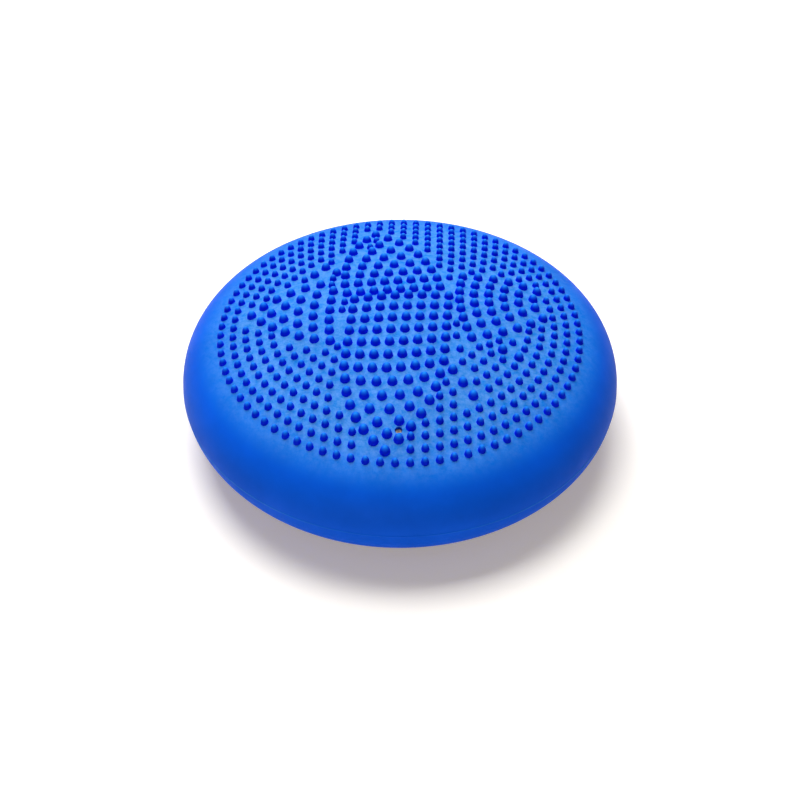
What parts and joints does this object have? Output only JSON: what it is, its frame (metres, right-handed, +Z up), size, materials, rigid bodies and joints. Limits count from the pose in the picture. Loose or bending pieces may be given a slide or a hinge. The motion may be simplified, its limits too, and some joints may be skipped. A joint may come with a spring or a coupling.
{
  "type": "wobble cushion",
  "caption": "Round inflatable balance cushion with a hollow vinyl skin, a domed top covered in massage nubs, a rolled edge, a flat rest underneath and a needle valve in the top.",
  "frame": {"origin": "centre of the flat patch under the cushion, on the surface that it stands on", "axes": "+Z up through the middle of the dome, -Y towards the valve, which faces the viewer in the picture"},
  "size_m": [0.33, 0.33, 0.1051],
  "materials": {
    "skin": "satin soft vinyl",
    "holder": "matt soft vinyl",
    "plug": "matt rubber"
  },
  "bodies": {
    "base": {"base_skin": "skin"},
    "lower_edge": {"lower_wall": "skin"},
    "upper_edge": {"upper_wall": "skin"},
    "top": {"top_skin": "skin", "valve_holder": "holder", "valve_plug": "plug"}
  },
  "joints": [
    {"name": "press", "type": "slide", "parent": "base", "child": "lower_edge", "axis": [0, 0, 1], "range_m": [-0.015, 0], "stiffness_N_per_m": 40000, "deforming": ["lower_wall"]},
    {"name": "rock_fore_aft", "type": "hinge", "parent": "lower_edge", "child": "upper_edge", "pos_m": [0, 0, 0.04402], "axis": [1, 0, 0], "range_deg": [-8, 8], "stiffness_Nm_per_rad": 260, "deforming": ["upper_wall"]},
    {"name": "rock_sideways", "type": "hinge", "parent": "upper_edge", "child": "top", "pos_m": [0, 0, 0.04402], "axis": [0, 1, 0], "range_deg": [-8, 8], "stiffness_Nm_per_rad": 260}
  ]
}
